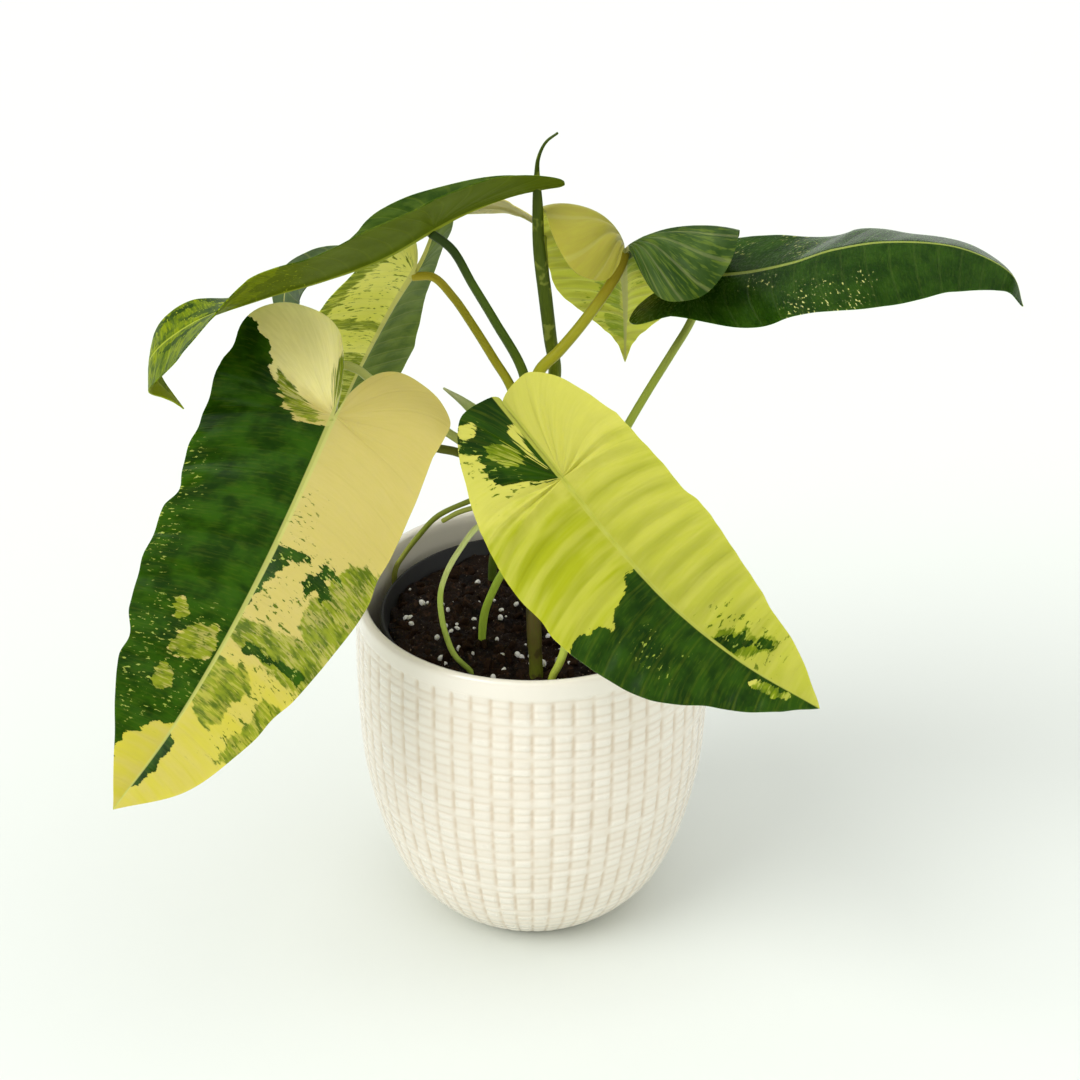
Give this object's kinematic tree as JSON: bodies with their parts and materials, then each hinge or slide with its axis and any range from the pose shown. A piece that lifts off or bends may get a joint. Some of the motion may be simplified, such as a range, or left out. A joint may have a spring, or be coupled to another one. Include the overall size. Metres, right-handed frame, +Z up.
{
  "type": "potted variegated philodendron",
  "caption": "Variegated aroid house plant with long heart-lobed cream and green leaves on curved stalks, standing in a pale ribbed ceramic pot.",
  "frame": {"origin": "centre of the ceramic pot's flat foot, on the surface it stands on", "axes": "+Z up, +X to the right in the picture, +Y away from the camera"},
  "size_m": [0.3894, 0.2464, 0.3894],
  "materials": {
    "leaf": "satin",
    "stem": "satin",
    "new_leaf": "satin",
    "stalk": "satin",
    "bract": "satin",
    "root": "satin",
    "ceramic": "gloss",
    "nursery_plastic": "satin",
    "soil": "matte"
  },
  "bodies": {
    "root": {"leaf_front_left_blade": "leaf", "leaf_front_right_blade": "leaf", "leaf_upper_left_blade": "leaf", "leaf_rear_left_blade": "leaf", "leaf_right_blade": "leaf", "leaf_rear_right_blade": "leaf", "leaf_back_left_blade": "leaf", "main_stem": "stem", "new_leaf_spike": "new_leaf", "leaf_front_left_stalk": "stalk", "leaf_front_right_stalk": "stalk", "leaf_upper_left_stalk": "stalk", "leaf_rear_left_stalk": "stalk", "leaf_right_stalk": "stalk", "leaf_rear_right_stalk": "stalk", "leaf_back_left_stalk": "stalk", "cut_stalk": "stalk", "bract_left": "bract", "aerial_root_front_left": "root", "aerial_root_rear_left": "root", "aerial_root_rear_fork": "root", "aerial_root_left": "root", "aerial_root_short": "root", "aerial_root_front_right": "root", "cachepot": "ceramic", "nursery_pot": "nursery_plastic", "potting_soil": "soil"}
  },
  "joints": []
}
